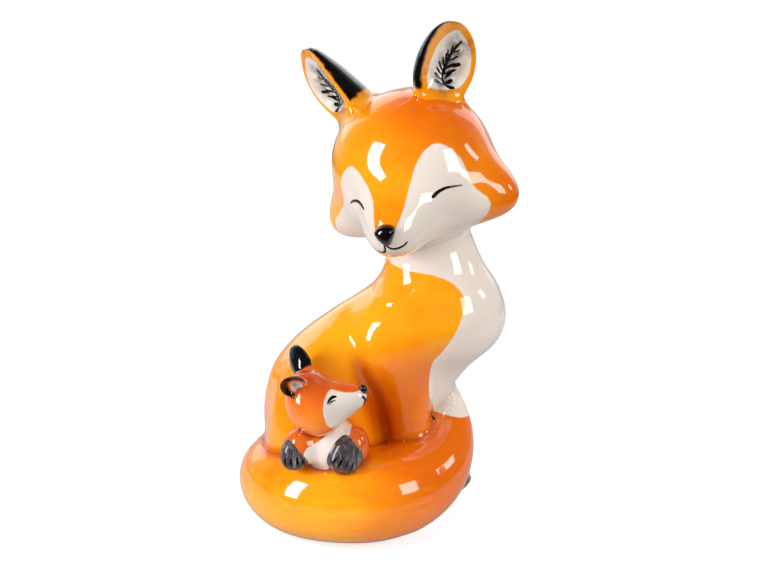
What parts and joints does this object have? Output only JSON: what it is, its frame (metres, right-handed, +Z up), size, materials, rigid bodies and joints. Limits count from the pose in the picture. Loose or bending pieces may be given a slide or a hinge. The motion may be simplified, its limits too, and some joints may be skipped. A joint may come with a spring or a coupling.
{
  "type": "fox figurine",
  "caption": "Glazed earthenware ornament of a seated fox, head turned and eyes shut, with a kit resting its paws over the curled tail.",
  "frame": {"origin": "middle of the flat foot's underside", "axes": "+Z up, -Y towards the side that the picture shows, +X towards the mother's breast"},
  "size_m": [0.1072, 0.0843, 0.2006],
  "materials": {
    "orange_glaze": "opaque earthenware with an orange high-gloss glaze and painted white patches",
    "rust_glaze": "opaque earthenware with a rust-red high-gloss glaze and a painted white face",
    "ear_glaze": "opaque earthenware with a black high-gloss glaze, an orange rim and a white hollow",
    "black_glaze": "opaque earthenware with a black high-gloss glaze",
    "grey_glaze": "opaque earthenware with a brushed charcoal-grey gloss glaze",
    "bare_clay": "opaque bare fired clay, matt and slightly rough"
  },
  "bodies": {
    "root": {"base_slab": "bare_clay", "body": "orange_glaze", "head": "orange_glaze", "left_ear": "ear_glaze", "right_ear": "ear_glaze", "nose_button": "black_glaze", "near_foreleg": "orange_glaze", "far_foreleg": "orange_glaze", "far_forepaw": "grey_glaze", "far_hind_paw": "grey_glaze", "tail": "orange_glaze", "kit_body": "rust_glaze", "kit_head": "rust_glaze", "kit_near_ear": "ear_glaze", "kit_far_ear": "ear_glaze", "kit_nose": "black_glaze", "kit_left_paw": "grey_glaze", "kit_right_paw": "grey_glaze"}
  },
  "joints": []
}
